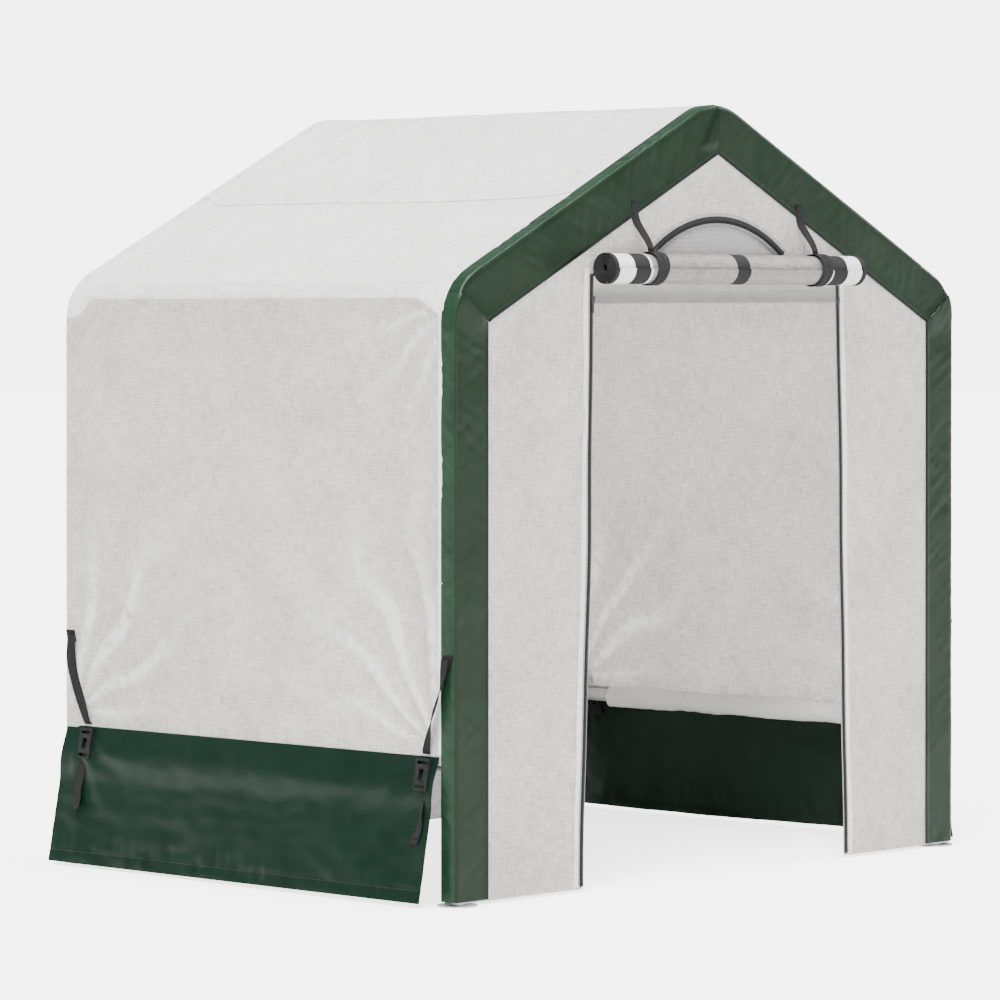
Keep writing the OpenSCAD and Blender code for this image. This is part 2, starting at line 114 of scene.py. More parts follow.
# ---- node materials ----
def add(nt, kind, out=0, settings=None, **ins):
    node = nt.nodes.new("ShaderNode" + kind)
    for key, value in (settings or {}).items():
        setattr(node, key, value)
    for key, value in ins.items():
        sock = node.inputs[int(key[1:])] if key[1:].isdigit() else node.inputs[key.replace("_", " ")]
        if isinstance(value, bpy.types.NodeSocket):
            nt.links.new(value, sock)
        else:
            sock.default_value = value
    return node.outputs[out]


def calc(nt, op, a, b=0.0, c=0.0, clamp=False):
    return add(nt, "Math", settings={"operation": op, "use_clamp": clamp}, i0=a, i1=b, i2=c)


def blend_rgb(nt, fac, a, b):
    node = nt.nodes.new("ShaderNodeMix")
    node.data_type = "RGBA"
    for sock, value in ((node.inputs[0], fac), (node.inputs[6], a), (node.inputs[7], b)):
        if isinstance(value, bpy.types.NodeSocket):
            nt.links.new(value, sock)
        else:
            sock.default_value = value if isinstance(value, float) else (*value, 1.0)
    return node.outputs[2]


def place(nt, scale=(1, 1, 1), uv=False):
    src = add(nt, "UVMap", settings={"uv_map": "cloth"}) if uv else add(nt, "TexCoord", 3)
    return add(nt, "Mapping", Vector=src, Scale=scale)


def noise_at(nt, vec, scale, detail=2.0, rough=0.5, distortion=0.0):
    return add(nt, "TexNoise", Vector=vec, Scale=scale, Detail=detail, Roughness=rough, Distortion=distortion)


def remap(nt, value, lo, hi, to_lo=0.0, to_hi=1.0):
    return add(nt, "MapRange", Value=value, From_Min=lo, From_Max=hi, To_Min=to_lo, To_Max=to_hi)


def new_mat(name):
    mat = bpy.data.materials.new(name)
    mat.use_nodes = True
    nt = mat.node_tree
    bsdf = nt.nodes["Principled BSDF"]
    return mat, nt, bsdf


def lines(nt, coord, period, width):
    """1 on thin lines that repeat along coord, 0 between them."""
    saw = calc(nt, "PINGPONG", coord, period / 2)
    return remap(nt, saw, 0.0, width, 1.0, 0.0)


def film_material(name, light, dark, through, grid=0.6, crinkle=0.5, rough=0.34):
    """Woven translucent film: crossing tapes, a reinforcing grid, milky clouds and fine creases."""
    mat, nt, bsdf = new_mat(name)
    uv = place(nt, uv=True)
    sep = nt.nodes.new("ShaderNodeSeparateXYZ")
    nt.links.new(uv, sep.inputs[0])
    warp = noise_at(nt, place(nt, (26, 230, 1), uv=True), 1.0, 2.0, 0.6)
    weft = noise_at(nt, place(nt, (230, 26, 1), uv=True), 1.0, 2.0, 0.6)
    cross = calc(nt, "MAXIMUM", lines(nt, sep.outputs[0], 0.0070, 0.0016),
                 lines(nt, sep.outputs[1], 0.0070, 0.0016))
    patchy = remap(nt, noise_at(nt, uv, 16.0, 5.0, 0.75), 0.36, 0.66)
    cross = calc(nt, "MULTIPLY", cross, patchy)
    cloud = noise_at(nt, place(nt), 4.5, 5.0, 0.62, 0.4)
    tapes = calc(nt, "ADD", warp, weft)
    tone = calc(nt, "MULTIPLY_ADD", tapes, 0.95, -0.45)
    tone = calc(nt, "MULTIPLY_ADD", cloud, 0.55, tone)
    tone = calc(nt, "MULTIPLY_ADD", cross, -0.42 * grid, tone)
    tone = remap(nt, tone, 0.36, 1.0)
    # painted highlight: the film is lightened towards white along the sharpest creases, partly the real whitening
    # of creased film, partly painted highlight for their glossy streaks
    crease_whitening_and_highlight = add(nt, "Attribute", out=2, settings={"attribute_name": "painted_light_and_shade"})
    patchy = remap(nt, noise_at(nt, place(nt), 40.0, 3.0, 0.7), 0.3, 0.62, 0.0, 1.6)
    crease_whitening_and_highlight = calc(nt, "MULTIPLY", crease_whitening_and_highlight, patchy, clamp=True)
    colour = blend_rgb(nt, crease_whitening_and_highlight, blend_rgb(nt, tone, dark, light), (0.99, 0.985, 0.98))
    nt.links.new(colour, bsdf.inputs["Base Color"])
    creases = add(nt, "TexVoronoi", settings={"feature": "DISTANCE_TO_EDGE"},
                  Vector=place(nt, (1, 1, 1)), Scale=26.0)
    fold = remap(nt, creases, 0.0, 0.10, 0.0, 1.0)
    ripple = noise_at(nt, place(nt), 30.0, 5.0, 0.6, 1.2)
    soft = noise_at(nt, place(nt), 9.0, 3.0, 0.5, 0.8)
    height = calc(nt, "MULTIPLY_ADD", ripple, 2.6, calc(nt, "MULTIPLY", fold, 0.35))
    height = calc(nt, "MULTIPLY_ADD", soft, 6.0, height)
    height = calc(nt, "MULTIPLY_ADD", tapes, 1.0, height)
    height = calc(nt, "MULTIPLY_ADD", cross, 0.35, height)
    bump = add(nt, "Bump", Height=height, Strength=crinkle, Distance=0.0026)
    nt.links.new(bump, bsdf.inputs["Normal"])
    shine = remap(nt, ripple, 0.3, 0.7, rough - 0.10, rough + 0.12)
    nt.links.new(shine, bsdf.inputs["Roughness"])
    bsdf.inputs["Specular IOR Level"].default_value = 0.6
    glow = nt.nodes.new("ShaderNodeBsdfTranslucent")
    nt.links.new(colour, glow.inputs["Color"])
    nt.links.new(bump, glow.inputs["Normal"])
    mix = nt.nodes.new("ShaderNodeMixShader")
    mix.inputs[0].default_value = through
    nt.links.new(bsdf.outputs[0], mix.inputs[1])
    nt.links.new(glow.outputs[0], mix.inputs[2])
    nt.links.new(mix.outputs[0], nt.nodes["Material Output"].inputs["Surface"])
    return mat


def coated_material(name, light, dark, edge=0.0, hem=0.0, rough=0.36):
    """Green coated film. UV x is the distance in from a bound edge, UV y runs along it."""
    mat, nt, bsdf = new_mat(name)
    sep = nt.nodes.new("ShaderNodeSeparateXYZ")
    nt.links.new(place(nt, uv=True), sep.inputs[0])
    weave = calc(nt, "MAXIMUM", lines(nt, sep.outputs[0], 0.003, 0.0008), lines(nt, sep.outputs[1], 0.003, 0.0008))
    cloud = noise_at(nt, place(nt), 6.0, 5.0, 0.6, 0.5)
    scuff = noise_at(nt, place(nt), 11.0, 2.0, 0.45, 0.0)
    tone = calc(nt, "MULTIPLY_ADD", cloud, 0.7, calc(nt, "MULTIPLY", scuff, 0.3))
    tone = remap(nt, tone, 0.15, 0.95)
    tone = calc(nt, "MULTIPLY_ADD", weave, -0.12, tone)
    height = calc(nt, "MULTIPLY", scuff, 1.2)
    colour = blend_rgb(nt, tone, dark, light)
    if edge:
        border = remap(nt, sep.outputs[0], edge, edge + 0.0008, 1.0, 0.0)
        colour = blend_rgb(nt, calc(nt, "MULTIPLY", border, 0.72), colour, tuple(0.4 * v for v in dark))
        thread = lines(nt, calc(nt, "SUBTRACT", sep.outputs[0], edge + 0.004), 4.0, 0.0009)
        dash = remap(nt, calc(nt, "PINGPONG", sep.outputs[1], 0.003), 0.0008, 0.0012)
        thread = calc(nt, "MULTIPLY", thread, dash)
        colour = blend_rgb(nt, calc(nt, "MULTIPLY", thread, 0.55), colour, tuple(2.2 * v + 0.02 for v in light))
        height = calc(nt, "MULTIPLY_ADD", border, 0.8, height)
    if hem:
        fold = lines(nt, calc(nt, "SUBTRACT", sep.outputs[0], hem), 4.0, 0.0022)
        colour = blend_rgb(nt, calc(nt, "MULTIPLY", fold, 0.6), colour, tuple(0.35 * v for v in dark))
        height = calc(nt, "MULTIPLY_ADD", fold, -1.2, height)
    # painted shade: darker along the rafter trim's fold at the peak, at the mitre seam and at the apex
    shade = add(nt, "Attribute", out=2, settings={"attribute_name": "painted_light_and_shade"})
    colour = blend_rgb(nt, calc(nt, "MULTIPLY", shade, 0.7), colour, tuple(0.3 * v for v in dark))
    nt.links.new(colour, bsdf.inputs["Base Color"])
    nt.links.new(add(nt, "Bump", Height=height, Strength=0.45, Distance=0.0014), bsdf.inputs["Normal"])
    nt.links.new(remap(nt, scuff, 0.3, 0.75, rough - 0.04, rough + 0.07), bsdf.inputs["Roughness"])
    bsdf.inputs["Specular IOR Level"].default_value = 0.17
    return mat


def plain_material(name, light, dark, rough, metal=0.0, scale=60.0, bump=0.25, stretch=(1, 1, 1), spots=0.0):
    """Solid materials with grain: moulded plastic, galvanised steel, zinc bolts, die-cast sliders."""
    mat, nt, bsdf = new_mat(name)
    grain = noise_at(nt, place(nt, stretch), scale, 5.0, 0.6, 0.3)
    tone = remap(nt, grain, 0.3, 0.7)
    if spots:
        spangle = add(nt, "TexVoronoi", out="Color", Vector=place(nt), Scale=spots)
        tone = calc(nt, "MULTIPLY_ADD", spangle, 0.6, calc(nt, "MULTIPLY", tone, 0.4))
    nt.links.new(blend_rgb(nt, tone, dark, light), bsdf.inputs["Base Color"])
    nt.links.new(remap(nt, grain, 0.3, 0.7, rough - 0.08, rough + 0.12), bsdf.inputs["Roughness"])
    fine = noise_at(nt, place(nt), scale * 7, 2.0)
    nt.links.new(add(nt, "Bump", Height=fine, Strength=bump, Distance=0.0004), bsdf.inputs["Normal"])
    bsdf.inputs["Metallic"].default_value = metal
    bsdf.inputs["Specular IOR Level"].default_value = 0.5 if metal else 0.22
    return mat


def webbing_material(name, light, dark):
    """Woven strap: ribs across. UV x across, UV y along, in metres."""
    mat, nt, bsdf = new_mat(name)
    sep = nt.nodes.new("ShaderNodeSeparateXYZ")
    nt.links.new(place(nt, uv=True), sep.inputs[0])
    slant = calc(nt, "ADD", sep.outputs[1], calc(nt, "PINGPONG", sep.outputs[0], 0.004))
    ribs = calc(nt, "PINGPONG", slant, 0.0012)
    ribs = remap(nt, ribs, 0.0, 0.0012)
    fuzz = noise_at(nt, place(nt), 90.0, 4.0, 0.65)
    tone = calc(nt, "MULTIPLY_ADD", ribs, 0.45, calc(nt, "MULTIPLY", fuzz, 0.6))
    nt.links.new(blend_rgb(nt, tone, dark, light), bsdf.inputs["Base Color"])
    nt.links.new(add(nt, "Bump", Height=ribs, Strength=0.6, Distance=0.0006), bsdf.inputs["Normal"])
    nt.links.new(remap(nt, fuzz, 0.3, 0.7, 0.62, 0.85), bsdf.inputs["Roughness"])
    bsdf.inputs["Specular IOR Level"].default_value = 0.15
    return mat


def net_material(name, thread, opening=0.55):
    """Fine insect net: threads kept, the gaps see-through."""
    mat, nt, bsdf = new_mat(name)
    sep = nt.nodes.new("ShaderNodeSeparateXYZ")
    nt.links.new(place(nt, uv=True), sep.inputs[0])
    mesh = calc(nt, "MAXIMUM", lines(nt, sep.outputs[0], 0.008, 0.0020), lines(nt, sep.outputs[1], 0.012, 0.0020))
    uneven = noise_at(nt, place(nt), 20.0, 3.0)
    cover = calc(nt, "MULTIPLY_ADD", mesh, opening, calc(nt, "MULTIPLY", uneven, 0.7), clamp=True)
    nt.links.new(blend_rgb(nt, uneven, tuple(0.72 * v for v in thread), thread), bsdf.inputs["Base Color"])
    nt.links.new(remap(nt, uneven, 0.3, 0.7, 0.5, 0.7), bsdf.inputs["Roughness"])
    nt.links.new(cover, bsdf.inputs["Alpha"])
    return mat


FILM = film_material("woven_film", (0.88, 0.855, 0.84), (0.50, 0.482, 0.470), 0.40, grid=1.0, crinkle=0.9)
# painted light: the roof, the wall above the eave and the rear wraps take a brighter, less translucent copy of the
# woven film, as if lit from above
ROOF_FILM_LIT = film_material("roof_film_painted_light", (0.99, 0.985, 0.975), (0.78, 0.772, 0.76), 0.10, grid=0.6, crinkle=1.0)
# painted shade: the gables and the vent flap take a darker copy of the woven film, as if out of the sun
GABLE_FILM_SHADED = film_material("gable_film_painted_shade", (0.76, 0.725, 0.705), (0.43, 0.405, 0.392), 0.34, grid=1.0, crinkle=0.7)
# a near-white copy of the film: partly the real whiter look of doubled film at hems and laps, partly painted light
# on the rail sleeves, which sit in shade
DOUBLED_FILM_LIT = film_material("doubled_film_and_painted_light", (0.985, 0.98, 0.975), (0.92, 0.915, 0.91), 0.22, grid=0.2, crinkle=0.7)
DOOR_FILM = film_material("door_film", (0.25, 0.238, 0.230), (0.13, 0.125, 0.121), 0.06, grid=0.9, crinkle=0.5)
WHITE_FILM = film_material("border_film", (0.86, 0.85, 0.845), (0.70, 0.69, 0.685), 0.15, grid=0.3, crinkle=0.4)
G_LIGHT, G_DARK = (0.0068, 0.0220, 0.0084), (0.0030, 0.0106, 0.0038)
TRIM = coated_material("green_trim", G_LIGHT, G_DARK, edge=0.010)
# painted highlight: the green wrapped round each corner onto the walls is a lighter copy of the trim green
TRIM_WRAP_LIT = coated_material("green_wrap_painted_light", (0.019, 0.056, 0.027), (0.0035, 0.015, 0.007), rough=0.33)
SKIRT = coated_material("green_skirt", (0.0040, 0.019, 0.0100), (0.0018, 0.0100, 0.0055), hem=0.030, rough=0.33)
TUBE = plain_material("galvanised_tube", (0.74, 0.75, 0.76), (0.52, 0.53, 0.54), 0.38, 0.85, 18.0, spots=160.0)
FITTING = plain_material("galvanised_fitting", (0.66, 0.67, 0.68), (0.46, 0.47, 0.48), 0.42, 0.85, 24.0,
                         spots=120.0)
BOLT = plain_material("zinc_bolt", (0.62, 0.62, 0.60), (0.36, 0.36, 0.35), 0.34, 0.95, 90.0)
BLACK = plain_material("black_plastic", (0.014, 0.014, 0.015), (0.005, 0.005, 0.006), 0.48, 0.0, 45.0)
TAPE = plain_material("zip_tape", (0.016, 0.016, 0.017), (0.005, 0.005, 0.005), 0.72, 0.0, 160.0, 0.5)
GREY_TAPE = plain_material("zip_tape_grey", (0.30, 0.30, 0.305), (0.17, 0.17, 0.175), 0.75, 0.0, 160.0, 0.5)
TEETH = plain_material("zip_teeth", (0.014, 0.014, 0.015), (0.004, 0.004, 0.004), 0.38, 0.0, 120.0)
SLIDER = plain_material("slider_metal", (0.10, 0.10, 0.105), (0.03, 0.03, 0.032), 0.35, 0.8, 80.0)
WEBBING = webbing_material("webbing", (0.018, 0.018, 0.019), (0.004, 0.004, 0.004))
TIE_WEB = webbing_material("tie_webbing", (0.020, 0.020, 0.021), (0.004, 0.004, 0.004))
NET = net_material("vent_net", (0.42, 0.42, 0.43))


# ---- mesh helpers ----
def bump_at(x, y, z, per_m, seed=0.0):
    return noise.noise(Vector((x * per_m + seed, y * per_m - seed, z * per_m + 2 * seed)))


def smooth(t):
    t = min(max(t, 0.0), 1.0)
    return t * t * (3 - 2 * t)


# a strap's cross-section in half widths and half thicknesses, a little crowned
STRAP_SECTION = ((-1, -1), (-0.34, -1.15), (0.34, -1.15), (1, -1),
                 (1, 1), (0.34, 1.15), (-0.34, 1.15), (-1, 1))


class Cloth:
    """Collects patches of one sheet: point(a, b) gives x, y, z, u, v with a, b from 0 to 1."""

    def __init__(self):
        self.v, self.f, self.uv, self.mi, self.painted_light_and_shade = [], [], [], [], {}

    def patch(self, na, nb, point, mat=0, pick=None):
        base = len(self.v)
        for i in range(na + 1):
            for j in range(nb + 1):
                p = point(i / na, j / nb)
                # an optional sixth value: how much painted light the white film, and painted shade the green trim,
                # gets at the point
                if len(p) > 5:
                    self.painted_light_and_shade[len(self.v)] = p[5]
                self.v.append(p[:3])
                self.uv.append(p[3:5])
        for i in range(na):
            for j in range(nb):
                q = base + i * (nb + 1) + j
                self.f.append((q, q + 1, q + nb + 2, q + nb + 1))
                self.mi.append(pick((i + 0.5) / na, (j + 0.5) / nb) if pick else mat)

    def strap(self, centre, side, width, thick, mat=0):
        """A closed band along centre points, with side vectors across it."""
        base, n, run = len(self.v), len(centre), 0.0
        for k in range(n):
            c = Vector(centre[k])
            run += (c - Vector(centre[k - 1])).length if k else 0.0
            ahead = Vector(centre[min(k + 1, n - 1)]) - Vector(centre[max(k - 1, 0)])
            across = Vector(side[k] if isinstance(side, list) else side).normalized()
            up = ahead.cross(across).normalized()
            for a, b in STRAP_SECTION:
                self.v.append(tuple(c + across * a * width / 2 + up * b * thick / 2))
                self.uv.append((a * width / 2 + width / 2, run))
        for k in range(n - 1):
            for j in range(8):
                a, b = base + k * 8 + j, base + k * 8 + (j + 1) % 8
                self.f.append((a, b, b + 8, a + 8))
                self.mi.append(mat)
        for row in (base, base + (n - 1) * 8):
            self.f.append(tuple(row + j for j in range(8)))
            self.mi.append(mat)

    def brick(self, centre, axes, size, mat=0):
        base = len(self.v)
        ax = [Vector(a).normalized() * s / 2 for a, s in zip(axes, size)]
        for i in (-1, 1):
            for j in (-1, 1):
                for k in (-1, 1):
                    self.v.append(tuple(Vector(centre) + ax[0] * i + ax[1] * j + ax[2] * k))
                    self.uv.append((0.0, 0.0))
        for q in ((0, 1, 3, 2), (4, 6, 7, 5), (0, 4, 5, 1), (2, 3, 7, 6), (0, 2, 6, 4), (1, 5, 7, 3)):
            self.f.append(tuple(base + n for n in q))
            self.mi.append(mat)

    def make(self, name, mats, body, slot, replaces=(), weld=True):
        me = bpy.data.meshes.new(name)
        me.from_pydata(self.v, [], self.f)
        layer = me.uv_layers.new(name="cloth")
        for loop in me.loops:
            layer.data[loop.index].uv = self.uv[loop.vertex_index]
        # per-point amount of painted highlight on the white film and painted shade on the green trim
        if self.painted_light_and_shade:
            mark = me.attributes.new("painted_light_and_shade", "FLOAT", "POINT")
            mark.data.foreach_set("value", [self.painted_light_and_shade.get(k, 0.0) for k in range(len(self.v))])
        me.polygons.foreach_set("material_index", self.mi)
        me.polygons.foreach_set("use_smooth", [True] * len(me.polygons))
        for mat in mats:
            me.materials.append(mat)
        if weld:
            bm = bmesh.new()
            bm.from_mesh(me)
            bmesh.ops.remove_doubles(bm, verts=bm.verts, dist=2e-5)
            bm.to_mesh(me)
            bm.free()
        ob = bpy.data.objects.new(name, me)
        bpy.context.scene.collection.objects.link(ob)
        if body:
            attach(ob, body)
        if replaces:
            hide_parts(*replaces)
        return ob


def section(s, r=EAVE_R):
    """Point and outward normal of the right half of the cover, s metres up from the seam.
    A smaller eave radius r keeps the same s for the same part of the cover."""
    wall = EAVE_CZ - SEAM
    arc = EAVE_R * TURN
    run = (EAVE_CX + EAVE_R * math.cos(TURN) - PEAK_R * math.cos(TURN)) / math.cos(PITCH)
    cx, cz = HALF_W - r, EAVE_Z - r * math.tan(TURN / 2)
    if s <= wall:
        return HALF_W, SEAM + s * (cz - SEAM) / wall if s > 0 else SEAM + s, 1.0, 0.0
    if s <= wall + arc:
        a = (s - wall) / EAVE_R
        return cx + r * math.cos(a), cz + r * math.sin(a), math.cos(a), math.sin(a)
    nx, nz = math.sin(PITCH), math.cos(PITCH)
    if s <= wall + arc + run:
        x0, x1 = cx + r * math.cos(TURN), PEAK_R * math.cos(TURN)
        x = x0 + (x1 - x0) * (s - wall - arc) / run
        return x, APEX - x * math.tan(PITCH), nx, nz
    a = TURN + (s - wall - arc - run) / PEAK_R
    return PEAK_R * math.cos(a), PEAK_CZ + PEAK_R * math.sin(a), math.cos(a), math.sin(a)


S_EAVE = EAVE_CZ - SEAM
S_SLOPE = S_EAVE + EAVE_R * TURN
S_LAP = S_SLOPE + (EAVE_CX + EAVE_R * math.cos(TURN) - LAP_X) / math.cos(PITCH)
S_PEAK = S_SLOPE + (EAVE_CX + EAVE_R * math.cos(TURN) - PEAK_R * math.cos(TURN)) / math.cos(PITCH)
S_TOP = S_PEAK + PEAK_R * PITCH


def fan(u, v, cu, cv, aim, reach, count, seed):
    """Tension creases that spread from a corner (cu, cv) about the direction aim."""
    du, dv = u - cu, v - cv
    r = math.hypot(du, dv)
    if r < 1e-6 or r > 4 * reach:
        return 0.0
    turn = math.atan2(dv, du) - aim
    turn = (turn + math.pi) % (2 * math.pi) - math.pi
    wave = math.cos(count * turn + 2.2 * noise.noise(Vector((r * 5, turn * 2, seed))))
    return wave * math.exp(-r / reach) * (1 - math.exp(-r / 0.06)) * max(0.0, math.cos(turn)) ** 2


def wall_off(sx, y, s):
    """How far a side wall stands out of its flat place."""
    edge = smooth(min(y - YF, YR - y) / 0.12)
    base = smooth(s / 0.05)
    d = -0.0045 * math.sin(math.pi * min(s / S_EAVE, 1.0)) * math.sin(math.pi * (y - YF) / LENGTH)
    d += 0.0034 * bump_at(y, s, sx, 2.6, 3.1) + 0.0017 * bump_at(y, s * 1.4, sx, 8.0, 7.7)
    d += 0.0008 * bump_at(y * 1.5, s, sx, 26.0, 1.7)
    for cu, cv, aim, reach, amp in (
        (YF + 0.06, 0.02, 1.05, 0.30, 0.0100), (YR - 0.03, 0.02, math.pi - 0.95, 0.27, 0.0095),
        (YF + 0.05, S_EAVE, -0.8, 0.22, 0.0045), (YR - 0.05, S_EAVE, math.pi + 0.8, 0.20, 0.0038)):
        d += amp * fan(y, s, cu, cv, aim, reach, 15, sx + cu)
    # slack puckers just above the skirt seam
    d += 0.0014 * math.exp(-((s - 0.02) / 0.05) ** 2) * math.sin(y * 70 + 3 * bump_at(y, 0, sx, 6))
    return d * edge * (0.35 + 0.65 * base)


def roof_off(sx, y, s):
    """How far the roof film stands out of its flat place."""
    d = 0.0030 * bump_at(y, s, sx, 2.2, 11.0) + 0.0016 * bump_at(y, s, sx, 7.0, 5.0)
    d += 0.0007 * bump_at(y, s, sx, 24, 2)
    up = min(max((s - S_SLOPE) / (S_TOP - S_SLOPE), 0), 1)
    d -= 0.0045 * math.sin(math.pi * (y - YF) / LENGTH) * math.sin(math.pi * up)
    d += 0.0016 * math.exp(-((s - S_SLOPE + 0.05) / 0.07) ** 2) * math.sin(y * 46 + 4 * bump_at(y, s, sx, 5))
    for cu, aim in ((YF + 0.05, 0.7), (YR - 0.05, math.pi - 0.7)):
        d += 0.0030 * fan(y, s, cu, S_SLOPE, aim, 0.20, 14, sx * 3 + cu)
    return d * smooth(min(y - YF, YR - y) / 0.10)


def wall_crease_whitening_and_highlight(sx, y, s):
    """Where the sharpest creases are painted lighter: partly the real whitening of creased film, partly painted
    highlight for their glossy streaks.
    """
    c = 0.0
    for cu, cv, aim, reach in ((YF + 0.06, 0.02, 1.05, 0.30), (YR - 0.03, 0.02, math.pi - 0.95, 0.27),
                               (YF + 0.05, S_EAVE, -0.8, 0.15)):
        f = fan(y, s, cu, cv, aim, reach, 15, sx + cu)
        c += 9.0 * max(f - 0.05, 0.0) ** 1.5
    return min(c, 1.0)


def cover_point(sx, y, s, lift=0.0):
    # the film bends more tightly between the gables, and covers the rear wrap
    near = min(y - YF - WRAP, (YR - y - WRAP) * 1.6)
    x, z, nx, nz = section(s, EAVE_R + (0.050 - EAVE_R) * smooth((near + 0.02) / 0.12))
    mixed = smooth((s - S_EAVE) / (S_SLOPE - S_EAVE))
    d = lift + (1 - mixed) * wall_off(sx, y, s) + mixed * roof_off(sx, y, s)
    under = smooth((YF + WRAP + 0.006 - y) / 0.012) if lift < 0.002 else 0.0
    d = d * (1 - under) - 0.0006 * under + 0.0030 * smooth((y - YR + WRAP + 0.014) / 0.010)
    # the sixth value is the painted highlight along the wall's sharpest creases, partly real whitening
    return sx * (x + nx * d), y, z + nz * d, y - YF, s, wall_crease_whitening_and_highlight(sx, y, s) if s < S_EAVE else 0.0


# ---- walls and roof ----
WALL_CUT = S_LAP + 0.034      # the wall film's cut length, with its tail and its lap
for side, sx in (("left", -1), ("right", 1)):
    c = Cloth()
    # from just above the eave the wall takes the brighter roof copy of the film: painted light on the film that
    # turns upwards
    c.patch(170, 140, lambda a, b: cover_point(
        sx, YF + STEP_BACK + b * (LENGTH - 0.0075), -WALL_TAIL + a * WALL_CUT, -0.0006),
        pick=lambda a, b: 1 if a * WALL_CUT > S_EAVE + 0.030 else 0)
    # a doubled hem where the wall meets the front trim's wrap
    y0, y1 = YF + WRAP - 0.004, YF + WRAP + 0.010
    c.patch(150, 4, lambda a, b: cover_point(
        sx, y0 + b * (y1 - y0), 0.004 + a * (S_LAP - 0.03),
        0.0021 + 0.0008 * math.sin(math.pi * b) + 0.0004 * math.sin(a * 900)), mat=2)
    ob = c.make(f"{side}_wall", [FILM, ROOF_FILM_LIT, DOUBLED_FILM_LIT], "frame", "film", [f"{side}_side_sheet"], weld=False)

c = Cloth()
for sx in (-1, 1):
    c.patch(64, 140, lambda a, b: cover_point(
        sx, YF + STEP_BACK + b * (LENGTH - 0.0075), S_LAP - 0.006 + a * (S_TOP - S_LAP + 0.006), 0.0009))
    # the sewn lap half way down the slope
    c.patch(5, 140, lambda a, b: cover_point(
        sx, YF + WRAP + b * (LENGTH - 2 * WRAP), S_LAP - 0.012 + a * 0.022,
        0.0016 + 0.0014 * math.sin(math.pi * a) + 0.0003 * math.sin(b * 800)), mat=1)
roof = c.make("ridge_cover", [ROOF_FILM_LIT, DOUBLED_FILM_LIT], "frame", "film", ["ridge_sheet"], weld=True)


# ---- gables ----
def door_x(z):
    return DOOR_TOP + (DOOR_FOOT - DOOR_TOP) * (DOOR_H - z) / (DOOR_H - HEM)


def edge_wave(z):
    """The slack door edge wanders a little in x and y."""
    return 0.0022 * math.sin(z * 5.3 + 0.6) + 0.0012 * math.sin(z * 13.0), 0.0018 * math.sin(z * 4.1 + 1.0)


def outline_x(z):
    if z <= EAVE_CZ:
        return HALF_W
    za = EAVE_CZ + EAVE_R * math.sin(TURN)
    if z <= za:
        return EAVE_CX + math.sqrt(max(EAVE_R ** 2 - (z - EAVE_CZ) ** 2, 0))
    return min(HALF_W, (APEX - z) / math.tan(PITCH))


def outline_z(x):
    x = abs(x)
    if x < PEAK_R * math.cos(TURN):
        return PEAK_CZ + math.sqrt(PEAK_R ** 2 - x ** 2)
    if x < EAVE_CX + EAVE_R * math.cos(TURN):
        return APEX - x * math.tan(PITCH)
    return EAVE_CZ + math.sqrt(max(EAVE_R ** 2 - (x - EAVE_CX) ** 2, 0))


def gable_off(x, z, door):
    ax = abs(x)
    d = 0.0034 * bump_at(x, 0, z * 0.7, 3.0, 9.0) + 0.0016 * bump_at(x * 1.6, 0, z, 8.0, 4.0)
    sgn = 1 if x > 0 else -1
    d += 0.0065 * fan(ax, z, INNER[0], INNER[1], -2.2, 0.26, 13, sgn)
    d += 0.0040 * fan(ax, z, INNER[0], 0.03, 2.1, 0.22, 12, sgn + 5)
    if door:
        d += 0.0040 * fan(ax, z, DOOR_TOP, DOOR_H, -1.2, 0.24, 12, sgn + 9)
    else:
        d += 0.006 * math.sin(math.pi * min(z / 1.7, 1)) * math.cos(math.pi * x / 2) * 0.5
    reach = min(INNER[0] + 0.02 - ax if z < 1.45 else 1.0, (outline_z(x) - z) - 0.11)
    return d * smooth(reach / 0.12)


def front_point(x, z, door=True):
    wx, wy = edge_wave(z) if door and z < DOOR_H else (0.0, 0.0)
    sgn = 1 if x > 0 else -1
    near = smooth(1 - (abs(x) - door_x(min(z, DOOR_H))) / 0.25) if z < DOOR_H else 0.0
    calm = 1 - 0.85 * near * (abs(x) < door_x(min(z, DOOR_H)) + 0.03)
    y = YF + 0.0002 + gable_off(x, z, door) * calm + wy * near
    return x + sgn * wx * near, y, z, x + 1, z


c = Cloth()
Z_WING = DOOR_H
for sgn in (-1, 1):
    c.patch(110, 30, lambda a, b: front_point(
        sgn * (door_x(HEM - 0.004 + a * (Z_WING - HEM + 0.004)) * (1 - b)
               + (outline_x(HEM - 0.004 + a * (Z_WING - HEM + 0.004)) - GABLE_EDGE) * b),
        HEM - 0.004 + a * (Z_WING - HEM + 0.004)))
c.patch(3, 110, lambda a, b: front_point((2 * b - 1) * (outline_x(Z_WING + a * (VENT_Z - Z_WING)) - GABLE_EDGE),
                                         Z_WING + a * (VENT_Z - Z_WING)))
VENT_OPEN = VENT_R - ZIP_W / 2
VENT_X = math.sqrt(VENT_OPEN ** 2 - (VENT_Z - VENT_CZ) ** 2)


def upper(x0, x1, a, b):
    x = x0 + (x1 - x0) * b
    low = VENT_Z
    if abs(x) < VENT_X:
        low = VENT_CZ + math.sqrt(VENT_OPEN ** 2 - x ** 2)
    return front_point(x, low + a * max(outline_z(x) - GABLE_EDGE - low, 0.0))


X_AT = outline_x(VENT_Z) - GABLE_EDGE
for x0, x1, n in ((-X_AT, -VENT_X, 34), (-VENT_X, VENT_X, 48), (VENT_X, X_AT, 34)):
    c.patch(26, n, lambda a, b: upper(x0, x1, a, b))


